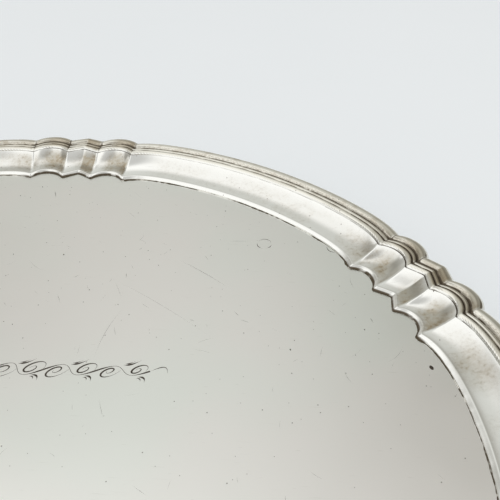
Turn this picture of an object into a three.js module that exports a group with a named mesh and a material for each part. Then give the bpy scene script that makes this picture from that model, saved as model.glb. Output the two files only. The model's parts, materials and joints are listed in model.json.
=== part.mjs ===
// A round silver salver on three cast feet.
//
// The salver is a flat round plate. A raised border is soldered round its edge: one moulding section
// (lip and bead, hollow cavetto, two reeds, outer roll) cut into lengths that meet in mitres. The border
// repeats six times: a long arc, then a corner made of a scallop, a pointed bracket and a second scallop.
// Millimetres, +Z up. The origin is on the surface that the salver stands on, on the plate's axis, and a
// corner of the border points along +Y.
import * as THREE from "three";

// Overall sizes
const outerRadius = 152.5; // at the middle of a long arc, outside the roll
const footHeight = 18; // from the table to the top of a foot
const plateThickness = 1.0;

// Plan of the border: it repeats this many times, and its corners stay at these angles at every width
const cornerCount = 6;
const cornerHalfAngle = THREE.MathUtils.degToRad(7.86); // centre of a corner to the start of a long arc
const bracketHalfAngle = THREE.MathUtils.degToRad(2.46); // centre of a corner to the end of its bracket

// How far the inner and the outer outline of the border leave the circle, along the radius: the drop at
// the end of a long arc, the further drop at a bracket, the bracket's point and the bulge of a scallop
const innerPlan = { arcDrop: 3.1, notch: 0.5, point: 3.5, bulge: 3.4 };
const outerPlan = { arcDrop: 2.1, notch: 0.4, point: 2.1, bulge: 2.8 };
const arcFullness = 10; // the higher, the nearer to its ends a long arc keeps to the circle

// Section of the moulding, from the plate outwards; heights are above the plate's face
const lipHeight = 0.55;
const beadWidth = 1.75;
const beadHeight = 1.05;
const cavettoWidth = 9.6;
const cavettoHeight = 4.5;
const cavettoSag = 0.75; // how far its hollow lies under a straight line
const grooveWidth = 0.2;
const grooveDepth = 0.5; // below the top of the cavetto
const innerReedRadius = 1.1;
const outerReedRadius = 0.85;
const rollRadius = 2.7;
const rollCentreHeight = 2.8;
const rollUnderAngle = THREE.MathUtils.degToRad(55); // how far the roll turns under on its outer side
const wall = 0.8; // metal of the moulding, which is hollow underneath
const soleWidth = 1.3; // the roll's flat sole, where it is soldered down
const soleInset = 0.1; // the sole starts this far inside the end of the roll

// Fits
const solderGap = 0.3; // between the plate's seat and whatever is soldered to it
const mitreGap = 0.2; // between two lengths of moulding
const flangeInset = 1.6; // the plate's edge stays this far inside the roll

// Foot: a cabriole with a broad knee, a narrow ankle and a round pad
const footCount = 3;
const footRadius = 123; // from the axis to the middle of a knee
const footSpread = 7; // how far the pad stands further out than the knee
const kneeHalfWidth = 12;
const kneeHalfDepth = 6.5;
const ankleHalfWidth = 3.4;
const padRadius = 6.5;
const padHeight = 2.6;

// How finely the outlines are divided; even numbers, so that the middle of an arc gets a point
const arcSteps = 12;
const scallopSteps = 6;

const up = new THREE.Vector3(0, 0, 1);
const pitch = (2 * Math.PI) / cornerCount;
const plateUnderside = footHeight + solderGap;
const plateFace = plateUnderside + plateThickness;
const seatHeight = plateFace - solderGap; // the flange under the border, scraped down for the solder

// Materials
function silver(colour, roughness) {
  return new THREE.MeshStandardMaterial({ color: colour, roughness, metalness: 1 });
}

// Height of an arc above its chord, where position runs from 0 to 1 along the chord.
function archHeight(position, chord, rise) {
  const radius = (chord * chord / 4 + rise * rise) / (2 * rise);
  const along = (position - 0.5) * chord;
  return Math.sqrt(radius * radius - along * along) - (radius - rise);
}

// Distance from the axis to one outline of the border, at an angle from the centre of a corner.
function outlineRadius(plan, middleRadius, angle) {
  const away = Math.abs(angle);
  const cornerEnd = middleRadius - plan.arcDrop;
  const bracketEnd = cornerEnd - plan.notch;
  if (away >= cornerHalfAngle) {
    const fromMiddle = pitch / 2 - away;
    const fullAngle = pitch / 2 - cornerHalfAngle;
    return middleRadius - plan.arcDrop * (fromMiddle / fullAngle) ** arcFullness;
  }
  if (away >= bracketHalfAngle) {
    const position = (away - bracketHalfAngle) / (cornerHalfAngle - bracketHalfAngle);
    const chord = (cornerHalfAngle - bracketHalfAngle) * cornerEnd;
    return THREE.MathUtils.lerp(bracketEnd, cornerEnd, position) + archHeight(position, chord, plan.bulge);
  }
  return bracketEnd + plan.point * (1 - away / bracketHalfAngle);
}

// Places across the section, measured outwards from the lip
const cavettoEnd = beadWidth + cavettoWidth;
const innerReedCentre = cavettoEnd + grooveWidth + innerReedRadius;
const outerReedCentre = innerReedCentre + innerReedRadius + grooveWidth + outerReedRadius;
const rollStart = outerReedCentre + outerReedRadius + grooveWidth;
const grooveHeight = cavettoHeight - grooveDepth;
const rollStartAngle = Math.PI - Math.asin((grooveHeight - rollCentreHeight) / rollRadius);
const rollCentre = rollStart - rollRadius * Math.cos(rollStartAngle);
const borderWidth = rollCentre + rollRadius;

// A point of the border, at a distance outwards from the lip and an angle from a corner's centre.
function borderPoint(across, angle, height) {
  const inner = outlineRadius(innerPlan, outerRadius - borderWidth, angle);
  const outer = outlineRadius(outerPlan, outerRadius, angle);
  const radius = THREE.MathUtils.lerp(inner, outer, across / borderWidth);
  return new THREE.Vector3(radius * Math.sin(angle), radius * Math.cos(angle), height);
}

// Adds the points of one reed, from its first groove over its crest.
function addReed(points, centre, radius) {
  const steps = 4;
  for (let i = 0; i <= steps; i++) {
    const turn = Math.PI * (1 - i / steps);
    points.push(new THREE.Vector2(centre + radius * Math.cos(turn), grooveHeight + radius * Math.sin(turn)));
  }
}

// Turns about the roll's centre: up from its groove to the crest, out to the widest point, then under.
function rollAngles() {
  const crest = Math.PI / 2;
  const halfway = THREE.MathUtils.lerp(rollStartAngle, crest, 0.5);
  return [rollStartAngle, halfway, crest, crest * 2 / 3, crest / 3, 0, -rollUnderAngle];
}

// Closed section of the moulding: across the border in x, above the plate's face in y.
function mouldingSection() {
  const points = [new THREE.Vector2(0, 0), new THREE.Vector2(0, lipHeight)];
  points.push(new THREE.Vector2(beadWidth * 0.35, beadHeight * 0.9));
  const cavettoSteps = 4;
  for (let i = 0; i <= cavettoSteps; i++) {
    const position = i / cavettoSteps;
    const straight = THREE.MathUtils.lerp(beadHeight, cavettoHeight, position);
    const height = straight - 4 * cavettoSag * position * (1 - position);
    points.push(new THREE.Vector2(beadWidth + cavettoWidth * position, height));
  }
  addReed(points, innerReedCentre, innerReedRadius);
  addReed(points, outerReedCentre, outerReedRadius);
  for (const turn of rollAngles()) {
    const across = rollCentre + rollRadius * Math.cos(turn);
    points.push(new THREE.Vector2(across, rollCentreHeight + rollRadius * Math.sin(turn)));
  }
  const soleEnd = points.at(-1).x - soleInset;
  points.push(new THREE.Vector2(soleEnd, 0));
  points.push(new THREE.Vector2(soleEnd - soleWidth, 0));
  points.push(new THREE.Vector2(soleEnd - soleWidth, rollCentreHeight));
  points.push(new THREE.Vector2(rollCentre, rollCentreHeight + rollRadius - wall));
  points.push(new THREE.Vector2(rollStart, grooveHeight - wall));
  points.push(new THREE.Vector2(cavettoEnd, grooveHeight - wall));
  points.push(new THREE.Vector2(beadWidth + cavettoWidth * 0.55, beadHeight));
  points.push(new THREE.Vector2(beadWidth + cavettoWidth * 0.2, 0));
  return points.reverse();
}

// Closed solid through a row of rings that all have the same number of points, with both ends capped.
function loft(rings, capFaces) {
  const count = rings[0].length;
  const positions = rings.flat().flatMap((point) => [point.x, point.y, point.z]);
  const faces = [];
  for (let ring = 0; ring < rings.length - 1; ring++) {
    for (let i = 0; i < count; i++) {
      const a = ring * count + i;
      const b = ring * count + ((i + 1) % count);
      faces.push(a, b, b + count, a, b + count, a + count);
    }
  }
  const lastRing = (rings.length - 1) * count;
  for (const [a, b, c] of capFaces) {
    faces.push(c, b, a);
    faces.push(lastRing + a, lastRing + b, lastRing + c);
  }
  const geometry = new THREE.BufferGeometry();
  geometry.setAttribute("position", new THREE.Float32BufferAttribute(positions, 3));
  geometry.setIndex(faces);
  geometry.computeVertexNormals();
  return geometry;
}

// An angle on the way from one to another; the steps get shorter towards both ends.
function stepAngle(startAngle, endAngle, step, steps) {
  return THREE.MathUtils.lerp(startAngle, endAngle, (1 - Math.cos((Math.PI * step) / steps)) / 2);
}

// One length of moulding between two angles, with its ends cut back by half a mitre gap.
function mouldingGeometry(startAngle, endAngle, steps) {
  const section = mouldingSection();
  const capFaces = THREE.ShapeUtils.triangulateShape(section, []);
  const trim = mitreGap / 2 / (outerRadius - borderWidth);
  const rings = [];
  for (let i = 0; i <= steps; i++) {
    const angle = stepAngle(startAngle, endAngle, i, steps);
    const cut = i === 0 ? trim : i === steps ? -trim : 0;
    rings.push(section.map((point) => borderPoint(point.x, angle + cut, plateFace + point.y)));
  }
  return loft(rings, capFaces);
}

// A ring of points round the plate, at a distance outwards from the border's lip.
function outlineRing(across, height) {
  const stretches = [
    [-bracketHalfAngle, bracketHalfAngle, 2],
    [bracketHalfAngle, cornerHalfAngle, scallopSteps],
    [cornerHalfAngle, pitch - cornerHalfAngle, arcSteps],
    [-cornerHalfAngle, -bracketHalfAngle, scallopSteps],
  ];
  const ring = [];
  for (let corner = 0; corner < cornerCount; corner++) {
    for (const [startAngle, endAngle, steps] of stretches) {
      const turn = (startAngle < -bracketHalfAngle ? corner + 1 : corner) * pitch;
      for (let i = 0; i < steps; i++) {
        const angle = stepAngle(startAngle, endAngle, i, steps);
        const nearest = angle > pitch / 2 ? angle - pitch : angle;
        const point = borderPoint(across, nearest, height);
        ring.push(point.applyAxisAngle(up, nearest - angle - turn));
      }
    }
  }
  return ring;
}

// The plate: a flat face inside the border, and a lower flange that the border sits on.
function plateGeometry() {
  const edge = borderWidth - flangeInset;
  const rings = [
    outlineRing(edge, plateUnderside),
    outlineRing(edge, seatHeight),
    outlineRing(-solderGap, seatHeight),
    outlineRing(-solderGap, plateFace),
  ];
  const count = rings[0].length;
  const bottomCentre = Array(count).fill(new THREE.Vector3(0, 0, plateUnderside));
  const topCentre = Array(count).fill(new THREE.Vector3(0, 0, plateFace));
  return closeFans([bottomCentre, ...rings, topCentre].map((ring) => [...ring].reverse()));
}

// Closed solid through rings whose first and last ring are single points.
function closeFans(rings) {
  const count = rings[0].length;
  const inner = rings.slice(1, -1);
  const positions = inner.flat().flatMap((point) => [point.x, point.y, point.z]);
  positions.push(...rings[0][0].toArray(), ...rings.at(-1)[0].toArray());
  const firstPole = inner.length * count;
  const lastPole = firstPole + 1;
  const faces = [];
  for (let i = 0; i < count; i++) {
    const next = (i + 1) % count;
    faces.push(firstPole, next, i);
    for (let ring = 0; ring < inner.length - 1; ring++) {
      const a = ring * count + i;
      const b = ring * count + next;
      faces.push(a, b, b + count, a, b + count, a + count);
    }
    const last = (inner.length - 1) * count;
    faces.push(last + i, last + next, lastPole);
  }
  const geometry = new THREE.BufferGeometry();
  geometry.setAttribute("position", new THREE.Float32BufferAttribute(positions, 3));
  geometry.setIndex(faces);
  geometry.computeVertexNormals();
  return geometry;
}

// One foot, standing on the origin under its pad, with its knee towards -Y.
function footGeometry() {
  const sides = 16;
  const padTop = padHeight / footHeight;
  // height share, half width, half depth, distance of the centre in from the pad's centre
  const stations = [
    [0, padRadius * 0.8, padRadius * 0.8, 0],
    [padTop * 0.3, padRadius, padRadius, 0],
    [padTop * 0.75, padRadius * 0.96, padRadius * 0.96, 0],
    [padTop * 1.15, ankleHalfWidth * 1.35, ankleHalfWidth * 1.35, footSpread * 0.05],
    [0.32, ankleHalfWidth, ankleHalfWidth, footSpread * 0.2],
    [0.5, ankleHalfWidth * 1.2, ankleHalfWidth * 1.15, footSpread * 0.28],
    [0.68, kneeHalfWidth * 0.52, kneeHalfDepth * 0.8, footSpread * 0.45],
    [0.84, kneeHalfWidth * 0.8, kneeHalfDepth * 1.05, footSpread * 0.75],
    [0.95, kneeHalfWidth * 0.96, kneeHalfDepth * 1.05, footSpread * 0.95],
    [1, kneeHalfWidth, kneeHalfDepth, footSpread],
  ];
  const rings = stations.map(([share, halfWidth, halfDepth, inward]) => {
    const ring = [];
    for (let i = 0; i < sides; i++) {
      const turn = (2 * Math.PI * i) / sides;
      const y = halfDepth * Math.sin(turn) - inward;
      ring.push(new THREE.Vector3(halfWidth * Math.cos(turn), y, share * footHeight));
    }
    return ring;
  });
  const capFaces = [];
  for (let i = 1; i < sides - 1; i++) {
    capFaces.push([0, i, i + 1]);
  }
  return loft(rings, capFaces);
}

// A named piece, turned clockwise about the salver's axis from its place at the first corner.
function addPiece(group, name, geometry, material, turn) {
  const piece = new THREE.Mesh(geometry, material);
  piece.name = name;
  piece.rotation.z = -turn;
  group.add(piece);
  return piece;
}

function addPlate(group) {
  addPiece(group, "plate", plateGeometry(), silver(0xcfccc4, 0.28), 0);
}

function addBorder(group) {
  const polished = silver(0xe4e2dc, 0.18);
  const arc = mouldingGeometry(cornerHalfAngle, pitch - cornerHalfAngle, arcSteps);
  const rightScallop = mouldingGeometry(bracketHalfAngle, cornerHalfAngle, scallopSteps);
  const leftScallop = mouldingGeometry(-cornerHalfAngle, -bracketHalfAngle, scallopSteps);
  const bracket = mouldingGeometry(-bracketHalfAngle, bracketHalfAngle, 2);
  for (let corner = 0; corner < cornerCount; corner++) {
    const number = corner + 1;
    const turn = corner * pitch;
    addPiece(group, `scallop_left_${number}`, leftScallop, polished, turn);
    addPiece(group, `bracket_${number}`, bracket, polished, turn);
    addPiece(group, `scallop_right_${number}`, rightScallop, polished, turn);
    addPiece(group, `long_arc_${number}`, arc, polished, turn);
  }
}

function addFeet(group) {
  const cast = silver(0xd2cfc6, 0.3);
  const geometry = footGeometry();
  for (let foot = 0; foot < footCount; foot++) {
    const turn = (2 * Math.PI * foot) / footCount;
    const piece = addPiece(group, `foot_${foot + 1}`, geometry, cast, turn);
    const reach = footRadius + footSpread;
    piece.position.set(reach * Math.sin(turn), reach * Math.cos(turn), 0);
  }
}

const salver = new THREE.Group();
salver.name = "salver";
addPlate(salver);
addBorder(salver);
addFeet(salver);

export default salver;
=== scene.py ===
import json
import math

import bpy
import numpy as np
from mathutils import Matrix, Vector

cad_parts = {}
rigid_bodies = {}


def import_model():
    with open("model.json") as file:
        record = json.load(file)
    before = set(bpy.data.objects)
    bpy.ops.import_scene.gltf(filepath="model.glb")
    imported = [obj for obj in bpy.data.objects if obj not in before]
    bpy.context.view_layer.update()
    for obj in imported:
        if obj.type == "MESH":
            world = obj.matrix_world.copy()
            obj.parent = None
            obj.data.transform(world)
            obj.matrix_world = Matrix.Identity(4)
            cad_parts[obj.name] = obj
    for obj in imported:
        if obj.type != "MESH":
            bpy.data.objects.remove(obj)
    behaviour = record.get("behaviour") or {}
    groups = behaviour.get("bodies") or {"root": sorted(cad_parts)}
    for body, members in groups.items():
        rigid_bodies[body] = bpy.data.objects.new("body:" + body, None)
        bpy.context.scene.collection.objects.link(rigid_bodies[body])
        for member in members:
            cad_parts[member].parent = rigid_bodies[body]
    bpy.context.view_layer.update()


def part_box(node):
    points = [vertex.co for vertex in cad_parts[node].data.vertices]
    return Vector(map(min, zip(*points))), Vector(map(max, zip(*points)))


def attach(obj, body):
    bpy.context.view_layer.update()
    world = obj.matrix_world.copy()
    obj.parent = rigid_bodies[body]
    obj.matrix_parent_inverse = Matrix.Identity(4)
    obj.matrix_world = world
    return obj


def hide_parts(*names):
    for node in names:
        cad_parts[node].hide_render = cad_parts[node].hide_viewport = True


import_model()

# ---------------------------------------------------------------------------------------------------
# The view
# ---------------------------------------------------------------------------------------------------
# The camera stands over the near right quarter of the plate and looks across it to the far border.
plate_low, plate_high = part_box("plate")
face_height = plate_high.z

camera_data = bpy.data.cameras.new("view")
camera_data.sensor_width = 36
camera_data.lens = 51.79
camera = bpy.data.objects.new("view", camera_data)
camera.location = (0.08235, -0.10361, face_height + 0.14170)
camera.rotation_euler = (math.radians(90 - 36.6), 0, math.radians(3.92))
bpy.context.scene.collection.objects.link(camera)
bpy.context.scene.camera = camera
bpy.context.scene.view_settings.view_transform = "Standard"


# ---------------------------------------------------------------------------------------------------
# The studio: floor and light
# ---------------------------------------------------------------------------------------------------
# The salver stands on a plain pale floor, under a wide soft light that leaves the sides of the room
# greyer and warmer than its ceiling.
def add_node(tree, kind, values=None, **settings):
    """Adds one shader node. values gives inputs by name or number: a plain value, or a socket to link."""
    node = tree.nodes.new("ShaderNode" + kind)
    for name, value in settings.items():
        setattr(node, name, value)
    for name, value in (values or {}).items():
        if isinstance(value, bpy.types.NodeSocket):
            tree.links.new(value, node.inputs[name])
        else:
            node.inputs[name].default_value = value
    return node


def calculate(tree, operation, *values):
    """The result of one Math node on plain values or sockets."""
    return add_node(tree, "Math", dict(enumerate(values)), operation=operation).outputs[0]


def between(tree, value, low, high, to_low=0.0, to_high=1.0):
    """value carried smoothly from to_low, at low, to to_high, at high."""
    inputs = {"Value": value, "From Min": low, "From Max": high, "To Min": to_low, "To Max": to_high}
    node = add_node(tree, "MapRange", inputs, interpolation_type="SMOOTHSTEP")
    return node.outputs["Result"]


def noise(tree, place, scale, detail, roughness=0.5):
    """Plain cloudy noise at a place, from 0 to 1."""
    values = {"Vector": place, "Scale": scale, "Detail": detail, "Roughness": roughness}
    return add_node(tree, "TexNoise", values).outputs[0]


def blend_colours(tree, amount, first, second):
    """first turned into second by amount, from 0 to 1."""
    node = add_node(tree, "Mix", {0: amount, 6: first, 7: second}, data_type="RGBA")
    return node.outputs[2]


def stained(tree, tone, colour, amount, strength):
    """tone carried towards colour by amount, from 0 to 1, times strength."""
    return blend_colours(tree, calculate(tree, "MULTIPLY", amount, strength), tone, colour)


def direction(azimuth, elevation):
    """Unit vector at an azimuth, clockwise from +Y, and an elevation, both in degrees."""
    turn, rise = math.radians(azimuth), math.radians(elevation)
    level = math.cos(rise)
    return (level * math.sin(turn), level * math.cos(turn), math.sin(rise))


def light_the_room(world):
    """Sky colour by direction: a grey base, and soft patches added one by one.
    A patch is full within its inner angle of its centre and gone at its outer angle. Behind the salver
    stands a plain pale backdrop."""
    tree = world.node_tree
    tree.nodes.clear()
    place = add_node(tree, "TexCoord").outputs["Generated"]
    way = add_node(tree, "VectorMath", {0: place}, operation="NORMALIZE").outputs[0]
    colour = (0.47, 0.465, 0.435, 1)
    # azimuth, elevation, inner and outer angle in degrees, colour that is reached there
    patches = [
        (-20, 20, 8, 18, (0.58, 0.575, 0.54, 1)),
        (-112, 22, 10, 26, (0.68, 0.67, 0.64, 1)),
        (-10, 47, 3, 19, (0.665, 0.675, 0.645, 1)),
        (180, 55, 25, 78, (1.02, 1.015, 0.99, 1)),
        (38, 32, 8, 30, (0.34, 0.335, 0.30, 1)),
        (180, 12, 15, 40, (0.36, 0.33, 0.28, 1)),
        (-64, 14, 6, 19, (0.22, 0.205, 0.175, 1)),
        (52, 16, 7, 21, (0.12, 0.105, 0.085, 1)),
        (-100, 70, 28, 41, (1.02, 1.02, 1.0, 1)),
        (-78, 38, 6, 17, (0.42, 0.41, 0.38, 1)),
        (100, 60, 27, 34, (1.02, 1.015, 0.99, 1)),
        (-57, 34, 7, 11, (0.98, 0.98, 0.96, 1)),
        (0, 90, 6, 21, (0.58, 0.58, 0.565, 1)),
    ]
    for azimuth, elevation, inner, outer, reached in patches:
        pair = {0: way, 1: direction(azimuth, elevation)}
        closeness = add_node(tree, "VectorMath", pair, operation="DOT_PRODUCT").outputs["Value"]
        gone, full = math.cos(math.radians(outer)), math.cos(math.radians(inner))
        colour = blend_colours(tree, between(tree, closeness, gone, full), colour, reached)
    seen = add_node(tree, "LightPath").outputs["Is Camera Ray"]
    colour = blend_colours(tree, seen, colour, (0.76, 0.80, 0.815, 1))
    background = add_node(tree, "Background", {"Color": colour, "Strength": 1.0})
    output = add_node(tree, "OutputWorld")
    tree.links.new(background.outputs[0], output.inputs["Surface"])


world = bpy.data.worlds.new("studio")
world.use_nodes = True
light_the_room(world)
bpy.context.scene.world = world

softbox_data = bpy.data.lights.new("softbox", "AREA")
softbox_data.shape = "DISK"
softbox_data.size = 2.4
softbox_data.energy = 11
softbox = bpy.data.objects.new("softbox", softbox_data)
softbox.location = (0.35, -0.55, 1.9)
softbox.rotation_euler = (math.radians(16), math.radians(10), 0)
softbox.visible_glossy = False
bpy.context.scene.collection.objects.link(softbox)


def plain_floor():
    """A flat square of pale board, with the faintest mottling."""
    half = 15.0
    mesh = bpy.data.meshes.new("floor")
    corners = [(-half, -half, 0), (half, -half, 0), (half, half, 0), (-half, half, 0)]
    mesh.from_pydata(corners, [], [(0, 1, 2, 3)])
    material = bpy.data.materials.new("pale_board")
    material.use_nodes = True
    tree = material.node_tree
    place = add_node(tree, "TexCoord").outputs["Object"]
    mottle = noise(tree, place, 9.0, 3.0)
    board = tree.nodes["Principled BSDF"]
    pale = blend_colours(tree, mottle, (0.835, 0.87, 0.905, 1), (0.855, 0.885, 0.92, 1))
    tree.links.new(pale, board.inputs["Base Color"])
    board.inputs["Roughness"].default_value = 0.9
    board.inputs["Specular IOR Level"].default_value = 0.1
    mesh.materials.append(material)
    floor = bpy.data.objects.new("floor", mesh)
    bpy.context.scene.collection.objects.link(floor)
    return floor


plain_floor()


# ---------------------------------------------------------------------------------------------------
# The plate
# ---------------------------------------------------------------------------------------------------
# A disc of sterling sheet, planished flat and stoned smooth. It is cut to the border's plan, and it
# carries the border on its edge, where the face is scraped down for the solder. The flourish and the
# marks of use are cut into its face.
MM = 0.001
outer_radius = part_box("long_arc_2")[1].x / MM
underside_height = plate_low.z / MM
face = face_height / MM

CORNERS = 6
PITCH = 2 * math.pi / CORNERS
CORNER_HALF_ANGLE = math.radians(7.86)
BRACKET_HALF_ANGLE = math.radians(2.46)
ARC_FULLNESS = 10
INNER_PLAN = {"arc_drop": 3.1, "notch": 0.5, "point": 3.5, "bulge": 3.4}
OUTER_PLAN = {"arc_drop": 2.1, "notch": 0.4, "point": 2.1, "bulge": 2.8}
BORDER_WIDTH = 20.94
inner_radius = outer_radius - BORDER_WIDTH


def outline(plan, middle, turn):
    """Distance in mm from the axis to one outline of the border, at an angle from the first corner.
    A long arc keeps to a circle and drops towards its ends with a high power of the way there. A
    scallop is a circle's arc over its chord, and a bracket is two straight lines that meet in a point."""
    away = np.abs(turn - PITCH * np.round(turn / PITCH))
    corner_end = middle - plan["arc_drop"]
    bracket_end = corner_end - plan["notch"]
    way = np.clip((PITCH / 2 - away) / (PITCH / 2 - CORNER_HALF_ANGLE), 0, 1)
    arc = middle - plan["arc_drop"] * way**ARC_FULLNESS
    chord = (CORNER_HALF_ANGLE - BRACKET_HALF_ANGLE) * corner_end
    radius = (chord * chord / 4 + plan["bulge"] ** 2) / (2 * plan["bulge"])
    share = np.clip((away - BRACKET_HALF_ANGLE) / (CORNER_HALF_ANGLE - BRACKET_HALF_ANGLE), 0, 1)
    bulge = np.sqrt(radius**2 - ((share - 0.5) * chord) ** 2) - (radius - plan["bulge"])
    scallop = bracket_end + (corner_end - bracket_end) * share + bulge
    bracket = bracket_end + plan["point"] * (1 - away / BRACKET_HALF_ANGLE)
    return np.where(away >= CORNER_HALF_ANGLE, arc, np.where(away >= BRACKET_HALF_ANGLE, scallop, bracket))


def worn_outline(plan, middle, turn, wear):
    """The outline with its corners rubbed round: its average over wear, in degrees, to each side."""
    shifts = np.radians(np.linspace(-wear, wear, 9))
    return sum(outline(plan, middle, turn + shift) for shift in shifts) / len(shifts)


def border_radius(across, turn):
    """Distance in mm from the axis to a line of the border: the inner outline, carried towards the
    outer one by the share of the border's width that lies across."""
    inner_wear, outer_wear = 0.24, 0.10
    inner = worn_outline(INNER_PLAN, inner_radius, turn, inner_wear)
    outer = worn_outline(OUTER_PLAN, outer_radius, turn, outer_wear)
    return inner + (outer - inner) * across / BORDER_WIDTH


def spaced(start, end, steps):
    """Angles from start to end, closer together towards both ends."""
    return start + (end - start) * (1 - np.cos(np.pi * np.arange(steps + 1) / steps)) / 2


def turns_round(arc_steps, corner_steps):
    """Angles once round the salver, closest where the outline turns."""
    stretches = [
        spaced(-BRACKET_HALF_ANGLE, 0, corner_steps)[:-1],
        spaced(0, BRACKET_HALF_ANGLE, corner_steps)[:-1],
        spaced(BRACKET_HALF_ANGLE, CORNER_HALF_ANGLE, corner_steps)[:-1],
        spaced(CORNER_HALF_ANGLE, PITCH - CORNER_HALF_ANGLE, arc_steps)[:-1],
        spaced(PITCH - CORNER_HALF_ANGLE, PITCH - BRACKET_HALF_ANGLE, corner_steps)[:-1],
    ]
    sector = np.concatenate(stretches)
    return np.concatenate([sector + PITCH * corner for corner in range(CORNERS)])


def on_salver(turn, radius, height):
    """Points in metres at angles clockwise from +Y, radii and heights in mm."""
    x, y, z = np.broadcast_arrays(radius * np.sin(turn), radius * np.cos(turn), height)
    return np.stack([x, y, z], axis=-1) * MM


def make_piece(name, points, faces, material, attributes=None, sharp_angle=30):
    """A smooth-shaded mesh object from points, faces and values at the points, with sharp creases."""
    mesh = bpy.data.meshes.new(name)
    mesh.from_pydata(points.reshape(-1, 3), [], faces)
    for attribute_name, values in (attributes or {}).items():
        layer = mesh.attributes.new(attribute_name, "FLOAT", "POINT")
        layer.data.foreach_set("value", values.astype(np.float32).ravel())
    mesh.shade_smooth()
    mesh.set_sharp_from_angle(angle=math.radians(sharp_angle))
    mesh.materials.append(material)
    mesh.validate()
    piece = bpy.data.objects.new(name, mesh)
    bpy.context.scene.collection.objects.link(piece)
    return piece


def ring_faces(rows, columns, rows_close=False):
    """Quads between neighbouring rows of points whose columns close into a ring."""
    row = np.arange(rows if rows_close else rows - 1)[:, None] * columns
    column = np.arange(columns)[None, :]
    following = (column + 1) % columns
    next_row = (row + columns) % (rows * columns)
    quads = np.stack([row + column, row + following, next_row + following, next_row + column], axis=-1)
    return quads.reshape(-1, 4).tolist()


def silver_finish(name, tone, roughness):
    """A new metal material and its parts: the material, its node tree, shader and Object coordinates."""
    material = bpy.data.materials.new(name)
    material.use_nodes = True
    tree = material.node_tree
    shader = tree.nodes["Principled BSDF"]
    shader.inputs["Metallic"].default_value = 1.0
    shader.inputs["Base Color"].default_value = tone
    shader.inputs["Roughness"].default_value = roughness
    return material, tree, shader, add_node(tree, "TexCoord").outputs["Object"]


def add_relief(tree, shader, height, strength, depth_mm):
    """Fine relief in the shading alone, over the shape's own."""
    values = {"Strength": strength, "Distance": depth_mm * MM, "Height": height}
    tree.links.new(add_node(tree, "Bump", values).outputs[0], shader.inputs["Normal"])


def hairlines(tree, place, angle, length_mm, width_mm, rarity):
    """Straight fine scratches in one direction: noise drawn out along it, kept only at its peaks."""
    sizes = (1000 / length_mm, 1000 / width_mm, 150.0)
    turned = {"Vector": place, "Rotation": (0, 0, math.radians(angle)), "Scale": sizes}
    drawn_out = noise(tree, add_node(tree, "Mapping", turned).outputs[0], 1.0, 1.0)
    return between(tree, drawn_out, rarity, rarity + 0.06)


def all_hairlines(tree, place, directions):
    """The strongest of the hairlines in several directions, each an angle, length, width and rarity."""
    lines = 0.0
    for angle, length_mm, width_mm, rarity in directions:
        added = hairlines(tree, place, angle, length_mm, width_mm, rarity)
        lines = calculate(tree, "MAXIMUM", lines, added)
    return lines


def pits(tree, place, spacing_mm, size_mm, share):
    """Round pits scattered one to a cell of the plan, only in the given share of the cells."""
    spread = {"Vector": place, "Scale": 1000 / spacing_mm}
    cells = add_node(tree, "TexVoronoi", spread, voronoi_dimensions="2D")
    radius = size_mm / spacing_mm / 2
    spot = between(tree, cells.outputs["Distance"], radius * 0.6, radius, 1.0, 0.0)
    chosen = add_node(tree, "SeparateColor", {0: cells.outputs["Color"]}).outputs[0]
    return calculate(tree, "MULTIPLY", spot, calculate(tree, "LESS_THAN", chosen, share))


def plate_finish():
    """Satin-bright silver: faint warm and cool clouds, fine scratches in many directions, pits, and
    dark tarnish left wherever the face is cut."""
    material, tree, shader, place = silver_finish("plate_silver", (0.95, 0.95, 0.92, 1), 0.28)
    clouds = between(tree, noise(tree, place, 14.0, 2.0), 0.35, 0.65)
    tone = blend_colours(tree, clouds, (0.94, 0.965, 0.925, 1), (0.975, 0.955, 0.93, 1))
    # angle, length and width in mm, and rarity of the hairlines in each direction
    directions = [
        (12, 9, 0.20, 0.78), (55, 7, 0.18, 0.77), (-37, 12, 0.20, 0.775), (96, 6, 0.2, 0.78),
        (-68, 4, 0.18, 0.77), (152, 14, 0.2, 0.78),
    ]
    lines = all_hairlines(tree, place, directions)
    large, small = pits(tree, place, 7.0, 0.42, 0.16), pits(tree, place, 3.1, 0.26, 0.08)
    holes = calculate(tree, "MAXIMUM", large, small)
    height = add_node(tree, "SeparateXYZ", {0: place}).outputs[2]
    below = between(tree, height, (face - 0.002) * MM, (face - 0.02) * MM)
    above = between(tree, height, (face - 0.5) * MM, (face - 0.4) * MM)
    cut = calculate(tree, "MULTIPLY", below, above)
    soil = noise(tree, place, 700.0, 3.0)
    tone = stained(tree, tone, (0.42, 0.40, 0.36, 1), lines, 0.34)
    tone = stained(tree, tone, (0.13, 0.11, 0.09, 1), holes, 0.75)
    dark = blend_colours(tree, soil, (0.028, 0.022, 0.018, 1), (0.12, 0.10, 0.08, 1))
    tone = blend_colours(tree, cut, tone, dark)
    tree.links.new(tone, shader.inputs["Base Color"])
    tree.links.new(between(tree, cut, 0.0, 1.0, 1.0, 0.1), shader.inputs["Metallic"])
    tree.links.new(between(tree, cut, 0.0, 1.0, 0.5, 0.15), shader.inputs["Specular IOR Level"])
    rough = calculate(tree, "MULTIPLY_ADD", noise(tree, place, 60.0, 4.0), 0.08, 0.27)
    rough = calculate(tree, "MULTIPLY_ADD", lines, 0.15, rough)
    rough = calculate(tree, "MULTIPLY_ADD", cut, 0.35, rough)
    tree.links.new(rough, shader.inputs["Roughness"])
    relief = calculate(tree, "MULTIPLY", lines, -0.4)
    relief = calculate(tree, "MULTIPLY_ADD", noise(tree, place, 45.0, 1.0), 4.0, relief)
    relief = calculate(tree, "MULTIPLY_ADD", holes, -1.0, relief)
    add_relief(tree, shader, relief, 0.35, 0.05)
    return material


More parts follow.
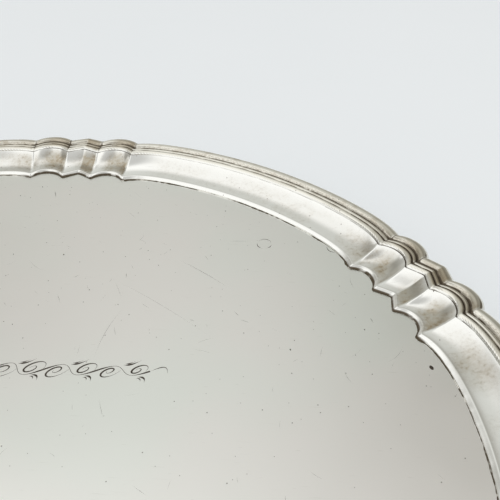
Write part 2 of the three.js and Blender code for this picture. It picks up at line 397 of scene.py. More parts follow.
def plate_rings(turn):
    """Rings of the plate from its face, over the scraped seat and the cut edge, to its underside: each
    is the border's line at a distance across, shrunk towards the axis by a share."""
    seat_drop, edge_inset = 0.3, 1.6
    seat = face - seat_drop
    edge = BORDER_WIDTH - edge_inset
    # share, distance across and height of each ring
    stations = [
        (0.40, 0, face), (0.75, 0, face), (0.96, 0, face), (1, -0.9, face), (1, 0.2, face), (1, 0.2, seat),
        (1, edge - 0.15, seat), (1, edge, seat - 0.15), (1, edge, underside_height + 0.15),
        (1, edge - 0.15, underside_height), (1, 6, underside_height), (0.7, 0, underside_height),
        (0.35, 0, underside_height),
    ]
    rings = [on_salver(turn, share * border_radius(across, turn), z) for share, across, z in stations]
    return np.stack(rings)


def plate_mesh(material):
    """The rings joined into one closed skin, with a fan to the axis on each side."""
    rings = plate_rings(turns_round(60, 14))
    rows, columns, _ = rings.shape
    poles = np.array([[0, 0, face * MM], [0, 0, underside_height * MM]])
    top_pole, low_pole = rows * columns, rows * columns + 1
    last_row = (rows - 1) * columns
    column = np.arange(columns)
    following = (column + 1) % columns
    top_fan = np.column_stack([np.full(columns, top_pole), following, column])
    low_fan = np.column_stack([np.full(columns, low_pole), last_row + column, last_row + following])
    faces = ring_faces(rows, columns) + np.stack([top_fan, low_fan], axis=1).reshape(-1, 3).tolist()
    return make_piece("salver_plate", np.concatenate([rings.reshape(-1, 3), poles]), faces, material)


def graver_bar(path, width, depth):
    """A closed three-sided bar along a path on the face, both in mm: its keel runs below the face at
    depth, and its top edges stand above it, so that it is as wide as width where it meets the face."""
    lift = 0.12
    along = np.gradient(path, axis=0)
    along /= np.linalg.norm(along, axis=1, keepdims=True)
    side = np.stack([-along[:, 1], along[:, 0]], axis=1)
    half = (width / 2 * (depth + lift) / depth)[:, None]
    left = np.column_stack([path + side * half, np.full(len(path), face + lift)])
    right = np.column_stack([path - side * half, np.full(len(path), face + lift)])
    keel = np.column_stack([path, face - depth])
    points = np.stack([right, keel, left], axis=1) * MM
    faces = ring_faces(len(path), 3)
    end = 3 * (len(path) - 1)
    faces += [(2, 1, 0), (end, end + 1, end + 2)]
    return points, faces


def swell(share, thin, thick, peak=0.5):
    """Width along a stroke from 0 to 1: thin at its ends, thick where share reaches peak."""
    rise = np.where(share < peak, share / peak, (1 - share) / (1 - peak))
    return thin + (thick - thin) * np.sin(rise * np.pi / 2) ** 2


def vine_strokes():
    """Strokes of the flourish as (path, width) in mm, for its right half: a waving stem, a spiral
    tendril in each hollow of the wave, and two pointed leaves outside each turn."""
    start, wave, periods = 3.0, 14.4, 3
    t = np.linspace(0, 1, 240)
    phase = 2 * np.pi * periods * t
    stem = np.column_stack([start + wave * periods * t, 2.2 * (1 - 0.3 * t) * np.sin(phase)])
    strokes = [(stem, 0.16 + 0.42 * np.clip(np.cos(phase), 0, 1) ** 2)]
    t = np.linspace(0, 1, 90)
    for i in range(2 * periods):
        up_side = 1 if i % 2 else -1
        size = 3.5 * (1 - 0.055 * i)
        centre = np.array([start + wave * (0.25 + i / 2), up_side * 0.12 * size])
        turn = up_side * (np.pi * (1.05 - 3.1 * t))
        reach = size * np.exp(-1.7 * t)
        spiral = centre + np.column_stack([-reach * np.cos(turn), reach * np.sin(turn)])
        strokes.append((spiral, swell(t, 0.09, 0.56, 0.30)))
        for out, length, thick in ((2.5, 3.4, 0.62), (3.0, 1.9, 0.38)):
            root = centre + np.array([1.1 + 0.3 * out, -up_side * out])
            tip = root + np.array([length, -up_side * 0.55 * length])
            knee = root + np.array([0.62 * length, up_side * 0.12 * length])
            leaf = (1 - t[:, None]) ** 2 * root + 2 * (t * (1 - t))[:, None] * knee + t[:, None] ** 2 * tip
            strokes.append((leaf, swell(t, 0.06, thick, 0.4)))
    tail = stem[-1] + np.column_stack([5.2 * t, 1.9 * np.sin(np.pi * t) - 0.6 * t])
    strokes.append((tail, swell(t, 0.06, 0.34, 0.35)))
    return strokes


def flourish_cuts():
    """The flourish as cuts (path, width, depth): its right half and the mirror image, with a bud in the
    middle, placed on a line that rises a little and leaning over."""
    line_middle, line_rise, lean = 28.3, 0.042, 0.62
    t = np.linspace(0, 1, 60)
    strokes = vine_strokes()
    for up_side in (1, -1):
        bud = np.column_stack([1.5 * np.sin(np.pi * t), up_side * (0.4 + 3.4 * t)])
        strokes.append((bud, swell(t, 0.08, 0.5)))
    cuts = []
    for path, width in strokes:
        for side in (1, -1):
            x = side * path[:, 0] + lean * path[:, 1]
            placed = np.column_stack([x, line_middle + line_rise * x + path[:, 1]])
            cuts.append((placed, width, 0.02 + 0.33 * width))
    return cuts


def bowed(start, run, bow, t):
    """A path from start along run, bent aside by bow times its length in half a sine wave."""
    aside = np.array([-run[1], run[0]]) * bow * np.sin(np.pi * t)[:, None]
    return start + run * t[:, None] + aside


def long_scratches():
    """Long scratches as cuts: the start and the end of each, and its greatest width."""
    scratches = [
        (46.0, 80.3, 66.5, 64.7, 0.12), (27.0, 69.0, 62.4, 43.5, 0.065), (61.5, 91.1, 69.5, 91.6, 0.09),
        (54.0, 51.6, 55.6, 50.9, 0.13), (68.6, 52.5, 72.0, 51.2, 0.13), (66.6, 56.1, 68.5, 53.7, 0.11),
        (55.7, 39.7, 63.5, 37.7, 0.05), (24.7, 38.9, 24.9, 34.6, 0.05), (-5.6, 118.7, -3.8, 113.5, 0.16),
        (106.7, 55.8, 107.5, 53.7, 0.16), (28.5, 67.2, 32.0, 59.7, 0.05), (38.5, 57.8, 41.6, 55.3, 0.08),
        (12.1, 60.2, 14.2, 56.2, 0.08), (31.0, 72.0, 31.5, 69.2, 0.13), (32.6, 84.4, 33.9, 85.8, 0.12),
        (-60.0, 30.0, -41.0, 44.0, 0.08), (-84.0, -14.0, -70.0, -39.0, 0.07),
        (22.0, -48.0, 61.0, -71.0, 0.06), (-30.0, -96.0, -8.0, -84.0, 0.08),
        (88.0, -32.0, 101.0, -12.0, 0.07), (-95.0, 55.0, -72.0, 61.0, 0.06),
    ]
    t = np.linspace(0, 1, 60)
    cuts = []
    for x0, y0, x1, y1, width in scratches:
        path = bowed(np.array([x0, y0]), np.array([x1 - x0, y1 - y0]), 0.02, t)
        cuts.append((path, swell(t, 0.015, width, 0.4), 0.015 + 0.35 * swell(t, 0.0, width, 0.4)))
    return cuts


def ring_marks():
    """Rings left by a point, as cuts: each run is a centre, a radius, and first and last angles."""
    runs = [
        (73.9, 90.6, 2.3, 15, 150), (73.8, 90.5, 2.35, 170, 262), (74.0, 90.6, 2.3, 285, 350),
        (97.0, 90.0, 2.3, 160, 300),
    ]
    t = np.linspace(0, 1, 60)
    cuts = []
    for x, y, radius, first, last in runs:
        turn = np.radians(first + (last - first) * t)
        ring = np.column_stack([x + radius * np.cos(turn), y + 1.12 * radius * np.sin(turn)])
        cuts.append((ring, swell(t, 0.05, 0.28), np.full(len(t), 0.10)))
    return cuts


def short_scratches():
    """Short scratches as cuts, spread evenly over the face, mostly in the few directions of wiping."""
    draw = np.random.default_rng(7)
    count, spread_radius = 230, 124
    wiping_angles = [-35, -38, 20, 75, 110]
    t = np.linspace(0, 1, 10)
    cuts = []
    for _ in range(count):
        away, around = spread_radius * math.sqrt(draw.random()), 2 * math.pi * draw.random()
        lie = math.radians(draw.choice(wiping_angles) + draw.normal(0, 14))
        length, width = 1.0 + draw.exponential(2.6), draw.uniform(0.03, 0.085)
        run = length * np.array([math.cos(lie), math.sin(lie)])
        start = away * np.array([math.sin(around), math.cos(around)])
        path = bowed(start, run, draw.normal(0, 0.06), t)
        wide = swell(t, 0.015, width, draw.uniform(0.2, 0.8))
        cuts.append((path, wide, 0.012 + 0.3 * swell(t, 0, width)))
    return cuts


def dents():
    """Pits as cuts: the centre and the width of each."""
    places = [
        (122.0, 36.8, 1.6), (-7.9, 79.2, 0.42), (8.6, 80.1, 0.62), (21.4, 62.9, 0.42), (31.7, 56.7, 0.38),
        (30.9, 43.3, 0.35), (37.1, 79.4, 0.3), (40.6, 76.5, 0.32), (45.6, 43.5, 0.3), (54.3, 20.2, 0.35),
        (-10.9, 121.0, 0.5), (-17.2, 114.4, 0.45), (104.8, 50.7, 0.5), (108.8, 49.4, 0.35),
        (101.7, 40.2, 0.3), (59.0, 109.4, 0.5), (69.3, 76.4, 0.3), (83.7, 41.1, 0.6), (3.0, 46.0, 0.4),
        (-64.0, 20.0, 0.5), (-20.0, -88.0, 0.6), (40.0, -30.0, 0.4), (-101.0, -35.0, 0.6),
        (77.0, -70.0, 0.4), (-50.0, 85.0, 0.4),
    ]
    t = np.linspace(0, 1, 60)
    cuts = []
    for x, y, size in places:
        reach = (t - 0.5) * size
        width = np.maximum(1.4 * np.sqrt(np.maximum((size / 2) ** 2 - reach**2, 0)), 0.03)
        cuts.append((np.column_stack([x - 0.35 * reach, y + reach]), width, 0.02 + 0.3 * width))
    return cuts


def engrave(plate):
    """Takes every cut out of the plate's face, each as a solid of its own."""
    bars = bpy.data.collections.new("graver_bars")
    bpy.context.scene.collection.children.link(bars)
    cuts = flourish_cuts() + long_scratches() + ring_marks() + short_scratches() + dents()
    for path, width, depth in cuts:
        points, faces = graver_bar(path, width, depth)
        mesh = bpy.data.meshes.new("bar")
        mesh.from_pydata(points.reshape(-1, 3), [], faces)
        bars.objects.link(bpy.data.objects.new("bar", mesh))
    taken_out = plate.modifiers.new("cuts", "BOOLEAN")
    taken_out.operation = "DIFFERENCE"
    taken_out.operand_type = "COLLECTION"
    taken_out.collection = bars
    taken_out.solver = "MANIFOLD"
    finished = plate.evaluated_get(bpy.context.evaluated_depsgraph_get())
    mesh = bpy.data.meshes.new_from_object(finished)
    plate.modifiers.remove(taken_out)
    plate.data = mesh
    for bar in list(bars.objects):
        bpy.data.objects.remove(bar)
    bpy.data.collections.remove(bars)
    mesh.shade_smooth()
    mesh.set_sharp_from_angle(angle=math.radians(15))


plate = plate_mesh(plate_finish())
engrave(plate)
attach(plate, "root")
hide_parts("plate")


# ---------------------------------------------------------------------------------------------------
# The border
# ---------------------------------------------------------------------------------------------------
# Lengths of one drawn silver moulding, hollow underneath: lip and bead, cavetto, two reeds and a roll.
# They are mitred, set on the plate's scraped edge and soldered. Six long arcs lie between six corners,
# each a scallop, a pointed bracket and a second scallop.
BEAD_WIDTH = 1.75
BEAD_HEIGHT = 1.05
CAVETTO_WIDTH = 9.6
CAVETTO_HEIGHT = 4.5
CAVETTO_SAG = 0.75
GROOVE_HEIGHT = 4.0
ROLL_RADIUS = 2.7
ROLL_HEIGHT = 2.8
ROLL_START = 15.75
WALL = 0.8
roll_centre = ROLL_START + math.sqrt(ROLL_RADIUS**2 - (GROOVE_HEIGHT - ROLL_HEIGHT) ** 2)


def lip_line():
    """The lip's short upright face, turned over into a bead that leans outwards."""
    return np.array([
        (0.0, 0.01), (0.0, 0.10), (0.0, 0.20), (0.0, 0.29), (0.015, 0.37), (0.06, 0.44), (0.14, 0.50),
        (0.26, 0.555), (0.42, 0.62), (0.60, 0.70), (0.78, 0.785), (0.96, 0.87), (1.12, 0.945), (1.26, 1.00),
        (1.40, 1.035), (1.55, 1.05),
    ])


def cavetto_line():
    """A straight slope from the bead to the reeds, less a parabola's sag."""
    share = np.linspace(0, 1, 30)
    height = BEAD_HEIGHT + (CAVETTO_HEIGHT - BEAD_HEIGHT) * share - 4 * CAVETTO_SAG * share * (1 - share)
    return np.column_stack([BEAD_WIDTH + CAVETTO_WIDTH * share, height])


def reed_lines():
    """The inner reed, steep inside and sloping on top, and the outer one, a plain half round."""
    inner = [
        (11.42, 4.44), (11.48, 4.30), (11.55, 4.17), (11.63, 4.12), (11.70, 4.18), (11.76, 4.32),
        (11.86, 4.52), (12.00, 4.71), (12.18, 4.86), (12.40, 4.98), (12.64, 5.08), (12.90, 5.17),
        (13.14, 5.23), (13.36, 5.24), (13.54, 5.18), (13.68, 5.05), (13.77, 4.87), (13.83, 4.66),
        (13.88, 4.46), (13.94, 4.34),
    ]
    arch = np.linspace(np.pi, 0, 15)
    outer = np.column_stack([14.86 + 0.83 * np.cos(arch), 4.36 + 0.80 * np.sin(arch)])
    groove = [(15.73, 4.22), (15.78, 4.12)]
    return np.concatenate([inner, outer, groove])


def roll_line():
    """A circle's arc from the last groove over the crest and round underneath."""
    first = math.pi - math.asin((4.14 - ROLL_HEIGHT) / ROLL_RADIUS)
    turn = np.linspace(first, -math.radians(55), 34)
    across = roll_centre + ROLL_RADIUS * np.cos(turn)
    return np.column_stack([across, ROLL_HEIGHT - 0.005 + ROLL_RADIUS * np.sin(turn)])


def moulding_line():
    """The whole closed section, across in x and above the face in y: the seen side from the lip to the
    roll, then the sole and the hollow underneath."""
    seen = np.concatenate([lip_line(), cavetto_line(), reed_lines(), roll_line()])
    sole = seen[-1, 0] - 0.1
    sole_width = 1.3
    hollow = np.array([
        (sole, 0.01), (sole - sole_width, 0.01), (sole - sole_width, ROLL_HEIGHT),
        (roll_centre, ROLL_HEIGHT + ROLL_RADIUS - WALL), (ROLL_START, GROOVE_HEIGHT - WALL),
        (BEAD_WIDTH + CAVETTO_WIDTH, GROOVE_HEIGHT - WALL), (7.03, BEAD_HEIGHT), (3.67, 0.01),
    ])
    return np.concatenate([seen, hollow]), len(seen)


def uneven(seed, length, waves, finest):
    """A repeatable uneven line over a length: a sum of waves of random size down to the finest, nearly
    always within -1 to 1."""
    draw = np.random.default_rng(seed)
    sizes = finest * (length / finest / 3) ** draw.random(waves)
    strengths = (sizes / sizes.max()) ** 0.45
    phases = draw.random(waves) * 2 * np.pi

    def line(along):
        total = sum(s * np.sin(2 * np.pi * along / size + p) for s, size, p in zip(strengths, sizes, phases))
        return total / strengths.sum() * 2.2

    return line


def unwiped(turn):
    """How much film the hollow holds, by angle: straight lines between the amounts at given places round a
    corner. It is little on a long arc, most on the half of each corner face that a cloth going round
    clockwise skips, and none on a mitre's ridge. One long arc has a stain, a bell curve, as well. Over the
    reeds and the roll the same amounts also set painted shade, darker on that half of each corner face."""
    mitres = np.array([-CORNER_HALF_ANGLE, -BRACKET_HALF_ANGLE, BRACKET_HALF_ANGLE, CORNER_HALF_ANGLE])
    offset = turn - PITCH * np.round(turn / PITCH)
    from_ridge = np.min(np.abs(offset[:, None] - mitres), axis=1)
    # degrees from the corner's middle, and the amount there: first before it, then after it
    places = [-30, -12, -8.5, -7.8, -6.8, -5.2, -2.5, -2.4, -1.2, 0]
    amounts = [0.15, 0.25, 0.5, 0.4, 0.3, 0.8, 0.8, 0.03, 0.2, 0.4]
    places += [0.1, 2.4, 2.5, 3.6, 5.0, 7.8, 7.9, 10, 14, 20, 30]
    amounts += [1, 1, 0.03, 0.12, 0.8, 0.9, 0.0, 0.02, 0.12, 0.12, 0.15]
    film = np.interp(np.degrees(offset), places, amounts)
    film = film * np.clip(np.degrees(from_ridge) / 0.35, 0, 1)
    stain_place, stain_reach = 74.5, 4.0
    stain = 0.5 * np.exp(-(((np.degrees(turn) - stain_place) / stain_reach) ** 2))
    return np.maximum(film, stain)


def dirt_held(across, shown, rim, turn, start, end, seed):
    """Dirt at the points of a length, from 0 to 1. Bell curves across stand for the grooves and the foot
    of the lip, with more near a corner, and bell curves along stand for the mitres at both ends."""
    away = np.abs(turn - PITCH * np.round(turn / PITCH))[:, None]
    near_corner = np.clip((math.radians(11) - away) / math.radians(4), 0, 1)
    # place, half width and strength of each groove
    grooves = [(11.62, 0.28, 0.66), (13.94, 0.38, 1.2), (15.85, 0.55, 1.2)]
    held = sum(strength * np.exp(-(((across - at) / wide) ** 2)) for at, wide, strength in grooves)
    held = np.where(shown, np.clip(held, 0, 1), 0.7)
    lip_face = np.exp(-((across / 0.60) ** 2)) * shown
    draw = np.random.default_rng(seed + 5)
    at_mitres = sum(
        strength * np.exp(-((np.abs(turn - edge) * outer_radius / 0.55) ** 2))
        for edge, strength in ((start, draw.uniform(0.3, 1)), (end, draw.uniform(0.3, 1)))
    )
    dirt = held * (0.85 + 0.6 * near_corner)
    dirt += at_mitres[:, None] * rim * 0.8
    dirt += lip_face * (0.1 + 0.9 * near_corner)
    return np.clip(dirt, 0, 1)


def film_and_painted_shade_held(across, shown, turn):
    """Film at the points of a length, from 0 to 1: what is unwiped at the angle, times a parabola across the
    cavetto, or a ramp up over the reeds and down over the roll. Over the reeds and the roll it also sets
    painted shade."""
    share = (across - BEAD_WIDTH) / CAVETTO_WIDTH
    hollow = np.clip(1.3 - (2.05 * share - 0.9) ** 2, 0, 1)
    rim_face = np.clip((across - 12.2) / 1.0, 0, 1) * np.clip((19.4 - across) / 1.4, 0.2, 1)
    return (hollow + rim_face) * shown * unwiped(turn)[:, None]


def moulding_mesh(name, start, end, steps, seed, material):
    """One length: the section carried round the border's plan between two angles, each point at its own
    distance across. The lip waves a little, the reeds and the roll have shallow dents, and the ends are
    closed flat. The points also hold where they lie, and how much dirt and film they hold; over the reeds
    and the roll the film amount also sets painted shade."""
    section, seen = moulding_line()
    shown = np.arange(len(section)) < seen
    section_across, section_height = section.T
    gap = 0.004 / inner_radius
    turn = spaced(start + gap, end - gap, steps)
    along = turn * outer_radius
    across = np.tile(section_across, (len(turn), 1))
    height = np.tile(section_height, (len(turn), 1))
    lip = np.clip(1 - section_across / 1.2, 0, 1) * shown
    across += 0.08 * uneven(seed, 120, 14, 1.6)(along)[:, None] * lip
    height += 0.045 * uneven(seed + 1, 120, 14, 1.3)(along)[:, None] * lip * (section_height > 0.2)
    rim = np.clip((section_across - 11.7) / 1.0, 0, 1) * (section_height > 3.6)
    height -= 0.015 * (1 + uneven(seed + 2, 120, 18, 1.1)(along)[:, None]) * rim
    points = on_salver(turn[:, None], border_radius(across, turn[:, None]), face + height)
    rows, columns = across.shape
    faces = [quad[::-1] for quad in ring_faces(rows, columns)]
    faces.append(tuple(range(columns)))
    faces.append(tuple(rows * columns - 1 - i for i in range(columns)))
    walk = np.r_[0, np.cumsum(np.hypot(*np.diff(section, axis=0).T))]
    attributes = {
        "along": np.broadcast_to(along[:, None], across.shape),
        "walk": np.broadcast_to(walk, across.shape),
        "across": np.broadcast_to(section_across, across.shape),
        "dirt": dirt_held(section_across, shown, rim, turn, start, end, seed),
        # the film amount also sets painted shade over the reeds and the roll
        "film": film_and_painted_shade_held(section_across, shown, turn),
    }
    return make_piece(name, points, faces, material, attributes, 38)


def border_finish():
    """Bright polished silver. Dirt and dark tarnish stay in the grooves and mitres, a warm film clings to
    the hollow, the inner reed keeps slanting file marks, and the roll is rubbed and dented. The reeds and
    the roll also carry painted shade on one half of each corner face, and the roll's outer side is painted
    grey as a reflection of the shadowed floor."""
    material, tree, shader, place = silver_finish("border_silver", (0.97, 0.965, 0.935, 1), 0.09)
    along, walk, across, dirt, film_and_painted_shade_share = (
        add_node(tree, "Attribute", attribute_name=name).outputs["Fac"]
        for name in ("along", "walk", "across", "dirt", "film")
    )
    clouds = noise(tree, place, 75.0, 5.0, 0.6)
    grain = noise(tree, place, 900.0, 3.0)
    blots = noise(tree, place, 260.0, 4.0)

    # the film in the hollow, in clouds, blots and dots
    film = calculate(tree, "MULTIPLY", film_and_painted_shade_share, between(tree, clouds, 0.36, 0.56))
    film = calculate(tree, "MULTIPLY", film, between(tree, blots, 0.36, 0.60, 0.6, 1.0))
    film = calculate(tree, "MULTIPLY", film, between(tree, grain, 0.35, 0.62, 0.5, 1.0))
    dots = calculate(tree, "MULTIPLY", film, between(tree, grain, 0.58, 0.66))
    tone = blend_colours(tree, film_and_painted_shade_share, (0.98, 0.98, 0.955, 1), (0.52, 0.505, 0.45, 1))
    tone = stained(tree, tone, (0.41, 0.325, 0.205, 1), film, 0.95)
    tone = stained(tree, tone, (0.17, 0.13, 0.08, 1), dots, 0.5)

    # the reeds and the roll: creamier, browner where they aren't wiped (partly film, partly painted shade),
    # streaked and blotted, and painted grey on the roll's outer side as a reflection of the shadowed floor
    rim = between(tree, across, 11.9, 12.4)
    tone = stained(tree, tone, (0.90, 0.875, 0.79, 1), rim, 0.8)
    # painted shade, in part: the reeds and the roll are browned where the film amount is high, on one half
    # of each corner face; this is partly film and partly painted shade for the dark reflection on that side
    rim_film_and_painted_shade = calculate(tree, "MULTIPLY", rim, calculate(tree, "MULTIPLY", film_and_painted_shade_share, 0.8))
    tone = stained(tree, tone, (0.36, 0.295, 0.20, 1), rim_film_and_painted_shade, between(tree, clouds, 0.30, 0.55, 0.6, 1.0))
    drawn_out = {0: along, 1: calculate(tree, "MULTIPLY", walk, 3.4)}
    streaks = noise(tree, add_node(tree, "CombineXYZ", drawn_out).outputs[0], 1.0, 5.0, 0.65)
    crest = calculate(tree, "MULTIPLY", between(tree, across, 15.7, 16.0), between(tree, across, 17.7, 16.6))
    worn = calculate(tree, "MULTIPLY", crest, between(tree, streaks, 0.45, 0.60))
    tone = stained(tree, tone, (0.24, 0.19, 0.13, 1), worn, 0.5)
    rubbed = calculate(tree, "MULTIPLY", between(tree, across, 12.0, 14.0), between(tree, blots, 0.54, 0.68))
    tone = stained(tree, tone, (0.42, 0.35, 0.25, 1), rubbed, 0.32)
    # painted reflection: the roll's outer side is greyed, standing for the shadowed floor near the salver
    # that it reflects
    tone = stained(tree, tone, (0.60, 0.585, 0.54, 1), between(tree, across, 19.4, 20.7), 0.75)

    # dirt and pits over everything
    patchy = calculate(tree, "MULTIPLY", dirt, between(tree, blots, 0.28, 0.55, 0.45, 1.0))
    soiled = between(tree, patchy, 0.25, 0.80)
    tone = blend_colours(tree, soiled, tone, (0.11, 0.086, 0.058, 1))
    specks = pits(tree, place, 5.2, 0.42, 0.16)
    tone = stained(tree, tone, (0.14, 0.105, 0.08, 1), specks, 0.8)
    tree.links.new(tone, shader.inputs["Base Color"])
    tree.links.new(between(tree, soiled, 0.0, 1.0, 1.0, 0.35), shader.inputs["Metallic"])

    # duller where it is filmed, scratched, dirty or worn
    lines = all_hairlines(tree, place, [(25, 6, 0.2, 0.76), (-50, 8, 0.2, 0.76), (80, 5, 0.2, 0.77)])
    rough = calculate(tree, "MULTIPLY_ADD", film, 0.16, 0.085)
    rough = calculate(tree, "MULTIPLY_ADD", lines, 0.12, rough)
    rough = calculate(tree, "MULTIPLY_ADD", soiled, 0.5, rough)
    rough = calculate(tree, "MULTIPLY_ADD", worn, 0.18, rough)
    tree.links.new(rough, shader.inputs["Roughness"])

    # slanting file marks on the inner reed, then the scratches, the pits and a slight waviness
    slant = calculate(tree, "MULTIPLY_ADD", walk, 2.6, along)
    teeth = calculate(tree, "SINE", calculate(tree, "MULTIPLY", slant, 5.2))
    filed = calculate(tree, "MULTIPLY", between(tree, across, 11.7, 11.9), between(tree, across, 13.0, 12.5))
    filed = calculate(tree, "MULTIPLY", filed, between(tree, clouds, 0.40, 0.55))
    relief = calculate(tree, "MULTIPLY", calculate(tree, "MULTIPLY", teeth, filed), 0.7)
    relief = calculate(tree, "MULTIPLY_ADD", calculate(tree, "MULTIPLY", grain, worn), -0.35, relief)
    relief = calculate(tree, "MULTIPLY_ADD", lines, -0.3, relief)
    relief = calculate(tree, "MULTIPLY_ADD", specks, -1.0, relief)
    relief = calculate(tree, "MULTIPLY_ADD", clouds, 1.5, relief)
    add_relief(tree, shader, relief, 0.5, 0.04)
    return material


def set_length(name, start, end, steps, seed, material):
    """Makes one length of the border and puts it in the place of its CAD node."""
    piece = moulding_mesh("border_" + name, start, end, steps, seed, material)
    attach(piece, "root")
    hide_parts(name)


border_silver = border_finish()
scallop_steps, bracket_steps, arc_steps = 48, 40, 170
for corner in range(CORNERS):
    at = corner * PITCH
    number = corner + 1
    seed = 100 * number
    bracket_start, bracket_end = at - BRACKET_HALF_ANGLE, at + BRACKET_HALF_ANGLE
    corner_start, corner_end = at - CORNER_HALF_ANGLE, at + CORNER_HALF_ANGLE
    set_length(f"scallop_left_{number}", corner_start, bracket_start, scallop_steps, seed, border_silver)
    set_length(f"bracket_{number}", bracket_start, bracket_end, bracket_steps, seed + 10, border_silver)
    set_length(f"scallop_right_{number}", bracket_end, corner_end, scallop_steps, seed + 20, border_silver)
    next_corner = at + PITCH - CORNER_HALF_ANGLE
    set_length(f"long_arc_{number}", corner_end, next_corner, arc_steps, seed + 30, border_silver)


# ---------------------------------------------------------------------------------------------------
# The solder seam
# ---------------------------------------------------------------------------------------------------
# Hard silver solder that ran along the foot of the lip and was scraped back by hand. It is uneven, with
# lumps at some mitres and open places that have filled with old polish.
def seam_mesh(material):
    """A low ridge along the lip: a quarter ellipse whose reach and height change along the border, with
    its back just inside the lip and its underside just inside the plate."""
    turn = turns_round(260, 40)
    along = turn * inner_radius
    round_length = 2 * math.pi * inner_radius
    away = np.abs(turn - PITCH * np.round(turn / PITCH))
    near_corner = np.clip((math.radians(11) - away) / math.radians(3), 0, 1)
    reach = 0.22 + 0.24 * uneven(31, round_length / 6, 30, 0.9)(along) + 0.07 * near_corner
    # angle in degrees, height and half width in mm of each lump
    lump_list = [(8.6, 0.5, 0.7), (9.6, 0.32, 1.4), (-8.4, 0.3, 0.8), (51.0, 0.35, 0.8), (68.6, 0.4, 0.8)]
    mm_per_degree = 2.3
    lumps = sum(
        size * np.exp(-(((np.degrees(turn) - angle) * mm_per_degree / wide) ** 2))
        for angle, size, wide in lump_list
    )
    reach = np.clip(reach + lumps, 0.06, 1.0)[:, None]
    quarter = np.linspace(0, np.pi / 2, 6)
    back = np.full_like(reach, 0.06)
    across = np.concatenate([-reach * np.cos(quarter), back, back], axis=1)
    top = np.minimum(reach * 0.75, 0.30)
    height = np.concatenate([top * np.sin(quarter), top * 0.9, np.full_like(reach, -0.05)], axis=1)
    height[:, 0] = -0.05
    radius = border_radius(across, turn[:, None])
    points = on_salver(turn[:, None], radius, face + height)
    gaps = np.clip(uneven(57, round_length / 8, 26, 1.4)(along) * 1.6 - 0.2, 0, 1)
    gaps = gaps * (np.abs(uneven(83, round_length, 9, 30)(along)) > 0.12)
    line = 0.62 + uneven(61, round_length / 7, 30, 2.2)(along) + 1.5 * lumps + 0.2 * near_corner
    line = np.clip(line, 0, 1)
    dirt = np.broadcast_to(np.maximum(gaps, line)[:, None], across.shape)
    faces = [quad[::-1] for quad in ring_faces(*across.shape, rows_close=True)]
    return make_piece("solder_seam", points, faces, material, {"dirt": dirt}, 50)


def seam_finish():
    """Dull silver solder, brown with old polish where it is thin or open."""
    material, tree, shader, place = silver_finish("solder", (0.80, 0.78, 0.73, 1), 0.3)
    dirt = add_node(tree, "Attribute", attribute_name="dirt").outputs["Fac"]
    grain = noise(tree, place, 800.0, 4.0)
    soiled = between(tree, calculate(tree, "MULTIPLY_ADD", grain, 0.7, dirt), 0.55, 1.05)
    tone = blend_colours(tree, soiled, (0.84, 0.82, 0.77, 1), (0.085, 0.068, 0.044, 1))
    tree.links.new(tone, shader.inputs["Base Color"])
    tree.links.new(between(tree, soiled, 0.0, 1.0, 0.26, 0.7), shader.inputs["Roughness"])
    tree.links.new(between(tree, soiled, 0.0, 1.0, 1.0, 0.15), shader.inputs["Metallic"])
    tree.links.new(between(tree, soiled, 0.0, 1.0, 0.5, 0.2), shader.inputs["Specular IOR Level"])
    add_relief(tree, shader, grain, 0.5, 0.06)
    return material


seam = seam_mesh(seam_finish())
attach(seam, "root")


# ---------------------------------------------------------------------------------------------------
# The feet
# ---------------------------------------------------------------------------------------------------
# Three small cabriole feet, cast in silver, filed up and soldered under the plate. Each has a fluted
# knee, a narrow ankle and a round pad.
def smooth_through(places, values, wanted):
    """A curve through given values: straight lines between them, averaged over a short window."""
    shifts = np.linspace(-0.025, 0.025, 7)
    return sum(np.interp(np.clip(wanted + shift, 0, 1), places, values) for shift in shifts) / len(shifts)


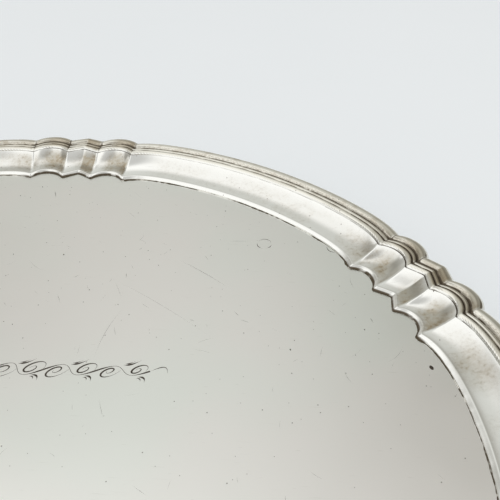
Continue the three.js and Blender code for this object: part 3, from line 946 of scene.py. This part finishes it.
def foot_points(turn_to, pad_centre):
    """Rings from the pad to the knee. Each ring is an ellipse whose half width, half depth and inward
    shift are smooth curves of its height, and the knee's front is fluted by a cosine."""
    top = underside_height - 0.02
    share = np.linspace(0, 1, 46)[:, None]
    stations = np.array([0, 0.03, 0.09, 0.13, 0.17, 0.32, 0.5, 0.68, 0.84, 0.95, 1.0])
    wide = np.array([5.3, 6.35, 6.3, 5.7, 4.6, 3.4, 4.1, 6.4, 9.6, 11.5, 12.0])
    deep = np.array([5.3, 6.35, 6.3, 5.7, 4.6, 3.4, 3.9, 5.2, 6.8, 6.9, 6.5])
    inward = np.array([0, 0, 0, 0.1, 0.35, 1.4, 2.0, 3.2, 5.2, 6.6, 7.0])
    half_width, half_depth, shift = (
        smooth_through(stations, values, share) for values in (wide, deep, inward)
    )
    around = np.linspace(0, 2 * np.pi, 72, endpoint=False)[None, :]
    front = np.clip(np.sin(around), 0, 1) ** 0.5
    knee = np.clip((share - 0.45) / 0.2, 0, 1) * np.clip((1.0 - share) / 0.12, 0, 1)
    flute = 1 - 0.055 * knee * front * (1 + np.cos(9 * (around + np.pi / 2)))
    x = half_width * np.cos(around) * flute
    y = half_depth * np.sin(around) * flute - shift + pad_centre
    z = np.broadcast_to(share * top, x.shape)
    cos, sin = math.cos(turn_to), math.sin(turn_to)
    return np.stack([x * cos + y * sin, -x * sin + y * cos, z], axis=-1) * MM


def foot_finish():
    """Cast silver, polished where hands and cloth reach, grey and a little grainy where they don't."""
    material, tree, shader, place = silver_finish("foot_silver", (0.93, 0.915, 0.87, 1), 0.2)
    clouds = noise(tree, place, 90.0, 4.0)
    grain = noise(tree, place, 1200.0, 3.0)
    hollow = add_node(tree, "NewGeometry").outputs["Pointiness"]
    patches = between(tree, clouds, 0.3, 0.6, 0.5, 1.0)
    soiled = calculate(tree, "MULTIPLY", between(tree, hollow, 0.50, 0.46), patches)
    dulled = between(tree, clouds, 0.45, 0.7, 0.0, 0.5)
    tone = blend_colours(tree, dulled, (0.94, 0.925, 0.88, 1), (0.72, 0.64, 0.55, 1))
    tone = blend_colours(tree, soiled, tone, (0.14, 0.11, 0.085, 1))
    tree.links.new(tone, shader.inputs["Base Color"])
    rough = calculate(tree, "MULTIPLY_ADD", clouds, 0.18, 0.10)
    tree.links.new(calculate(tree, "MULTIPLY_ADD", soiled, 0.3, rough), shader.inputs["Roughness"])
    add_relief(tree, shader, grain, 0.3, 0.04)
    return material


foot_silver = foot_finish()
FEET = 3
PAD_CENTRE = 130.0
for i in range(FEET):
    points = foot_points(i * 2 * math.pi / FEET, PAD_CENTRE)
    rows, columns, _ = points.shape
    faces = ring_faces(rows, columns)
    faces.append(tuple(range(columns - 1, -1, -1)))
    faces.append(tuple((rows - 1) * columns + column for column in range(columns)))
    foot = make_piece(f"cast_foot_{i + 1}", points, faces, foot_silver, sharp_angle=50)
    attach(foot, "root")
    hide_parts(f"foot_{i + 1}")
